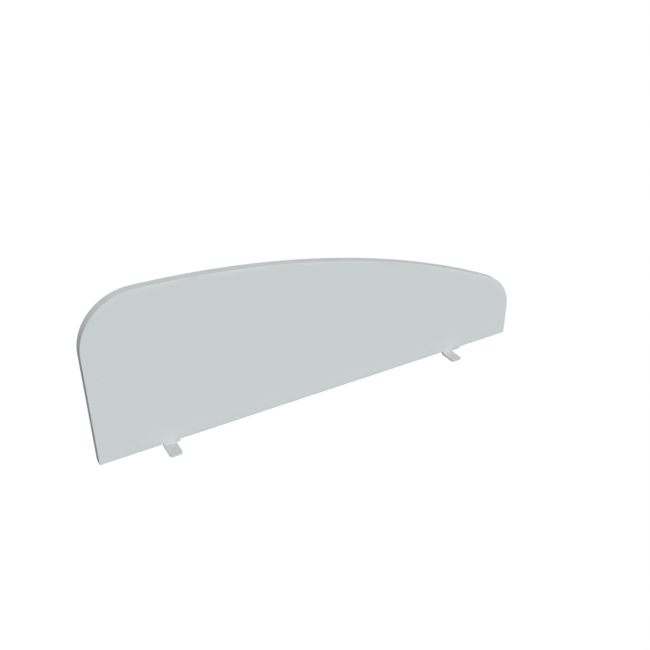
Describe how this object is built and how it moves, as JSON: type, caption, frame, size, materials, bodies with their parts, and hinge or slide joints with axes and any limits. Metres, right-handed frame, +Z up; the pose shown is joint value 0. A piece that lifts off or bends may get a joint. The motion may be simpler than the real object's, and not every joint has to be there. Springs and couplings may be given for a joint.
{
  "type": "desk divider screen",
  "caption": "Fabric-covered desk divider screen, tall at one end and curving down to the other, with stepped steel tabs that go under a desk top.",
  "frame": {"origin": "centre of the whole object's footprint, level with the underside of the tabs", "axes": "+X along the width towards the low end, -Y the way the tabs point, +Z up"},
  "size_m": [1.6, 0.092, 0.571],
  "materials": {
    "board": "raw fibreboard, hidden inside the cover",
    "foam": "open-cell foam, hidden inside the cover",
    "cover_fabric": "pale cool grey plain-weave upholstery fabric, matt",
    "coated_steel": "light grey fine-texture powder coat, satin",
    "spacer_plastic": "light grey moulded plastic, matt",
    "plated_steel": "zinc plated"
  },
  "bodies": {
    "root": {"core_board": "board", "front_foam": "foam", "back_foam": "foam", "edge_padding": "foam", "front_cover": "cover_fabric", "back_cover": "cover_fabric", "edge_cover": "cover_fabric", "bottom_cover": "cover_fabric", "cover_staples": "plated_steel", "tall_end_bracket": "coated_steel", "low_end_bracket": "coated_steel", "tall_end_spacer": "spacer_plastic", "low_end_spacer": "spacer_plastic", "tall_end_inserts": "plated_steel", "low_end_inserts": "plated_steel", "tall_end_washers": "plated_steel", "low_end_washers": "plated_steel", "tall_end_screws": "plated_steel", "low_end_screws": "plated_steel"}
  },
  "joints": []
}
